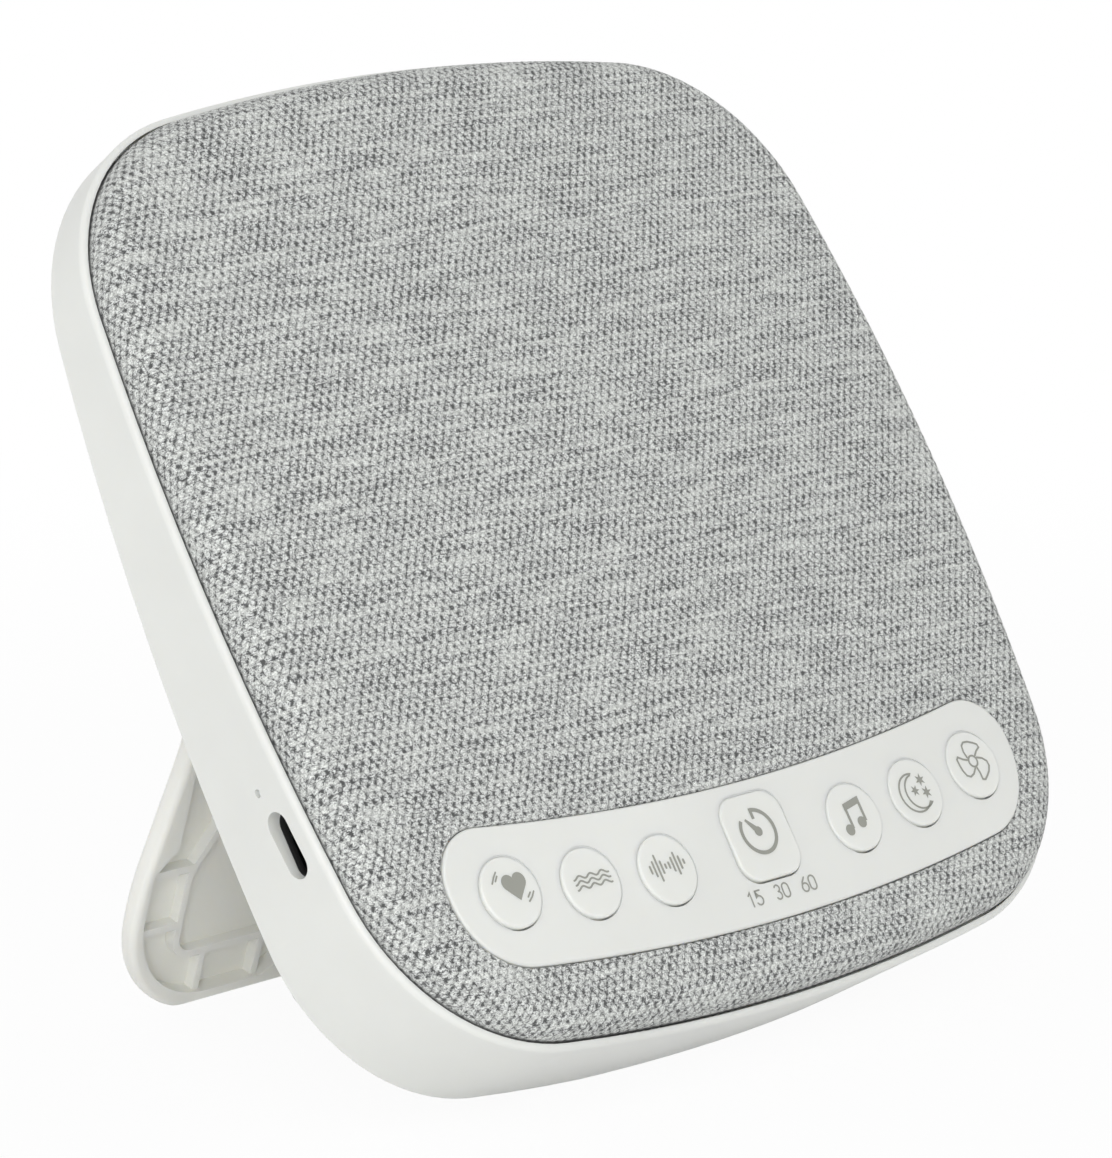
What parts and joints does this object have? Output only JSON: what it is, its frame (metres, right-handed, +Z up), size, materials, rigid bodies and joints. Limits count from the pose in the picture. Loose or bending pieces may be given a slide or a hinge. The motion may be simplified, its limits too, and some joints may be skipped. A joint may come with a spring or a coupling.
{
  "type": "white noise machine",
  "caption": "Bedside sound machine: thin leaning rounded-square speaker with a knitted fabric front, a smile-shaped band of push keys and a fold-out kickstand behind.",
  "frame": {"origin": "on the floor, at the middle of the small flat on the housing's lower edge that the body stands on", "axes": "+Z up; the fabric front looks towards -Y and leans back; the kickstand reaches the floor behind, on +Y; +X is to the right of a viewer in front"},
  "size_m": [0.1449, 0.0913, 0.1328],
  "materials": {
    "white_plastic": "satin",
    "knit_fabric": "matte",
    "grey_plastic": "matte",
    "black_plastic": "matte",
    "clear_plastic": "gloss",
    "key_rubber": "matte",
    "foam_rubber": "matte",
    "circuit_board": "satin",
    "screw_steel": "satin",
    "pressed_steel": "satin",
    "port_steel": "satin",
    "cone_plastic": "matte",
    "coil_copper": "satin",
    "magnet_iron": "matte",
    "battery_foil": "satin"
  },
  "bodies": {
    "body": {"front_housing": "white_plastic", "fabric_cover": "knit_fabric", "front_frame": "grey_plastic", "control_panel": "white_plastic", "key_mat": "key_rubber", "key_board": "circuit_board", "key_switches": "black_plastic", "timer_light_guide": "clear_plastic", "key_board_screws": "screw_steel", "speaker_gasket": "foam_rubber", "speaker_basket": "pressed_steel", "speaker_surround": "foam_rubber", "speaker_cone": "cone_plastic", "dust_cap": "cone_plastic", "voice_coil": "coil_copper", "speaker_magnet": "magnet_iron", "magnet_yoke": "pressed_steel", "speaker_screws": "screw_steel", "main_board": "circuit_board", "usb_port": "port_steel", "charge_light_pipe": "clear_plastic", "volume_control": "black_plastic", "battery": "battery_foil", "battery_pads": "foam_rubber", "main_board_screws": "screw_steel", "rear_cover": "white_plastic", "case_screws": "screw_steel"},
    "key_heartbeat": {"key_heartbeat": "white_plastic"},
    "key_waves": {"key_waves": "white_plastic"},
    "key_white_noise": {"key_white_noise": "white_plastic"},
    "key_timer": {"key_timer": "white_plastic"},
    "key_music": {"key_music": "white_plastic"},
    "key_night": {"key_night": "white_plastic"},
    "key_fan": {"key_fan": "white_plastic"},
    "stand": {"kickstand": "white_plastic", "hinge_pins": "screw_steel"},
    "wheel": {"volume_wheel": "white_plastic"}
  },
  "joints": [
    {"name": "key_heartbeat_press", "type": "slide", "parent": "body", "child": "key_heartbeat", "axis": [0, 0.8339, -0.5519], "range_m": [0, 0.00035], "stiffness_N_per_m": 5700},
    {"name": "key_waves_press", "type": "slide", "parent": "body", "child": "key_waves", "axis": [0, 0.8339, -0.5519], "range_m": [0, 0.00035], "stiffness_N_per_m": 5700},
    {"name": "key_white_noise_press", "type": "slide", "parent": "body", "child": "key_white_noise", "axis": [0, 0.8339, -0.5519], "range_m": [0, 0.00035], "stiffness_N_per_m": 5700},
    {"name": "key_timer_press", "type": "slide", "parent": "body", "child": "key_timer", "axis": [0, 0.8339, -0.5519], "range_m": [0, 0.00035], "stiffness_N_per_m": 5700},
    {"name": "key_music_press", "type": "slide", "parent": "body", "child": "key_music", "axis": [0, 0.8339, -0.5519], "range_m": [0, 0.00035], "stiffness_N_per_m": 5700},
    {"name": "key_night_press", "type": "slide", "parent": "body", "child": "key_night", "axis": [0, 0.8339, -0.5519], "range_m": [0, 0.00035], "stiffness_N_per_m": 5700},
    {"name": "key_fan_press", "type": "slide", "parent": "body", "child": "key_fan", "axis": [0, 0.8339, -0.5519], "range_m": [0, 0.00035], "stiffness_N_per_m": 5700},
    {"name": "kickstand_hinge", "type": "hinge", "parent": "body", "child": "stand", "pos_m": [0, 0.04388, 0.07695], "axis": [1, 0, 0], "range_deg": [-45.3, 0]},
    {"name": "volume_wheel_turn", "type": "hinge", "parent": "body", "child": "wheel", "pos_m": [0.06461, 0.0076, 0.04169], "axis": [0, -0.8339, 0.5519], "range_deg": [-140, 140]}
  ]
}
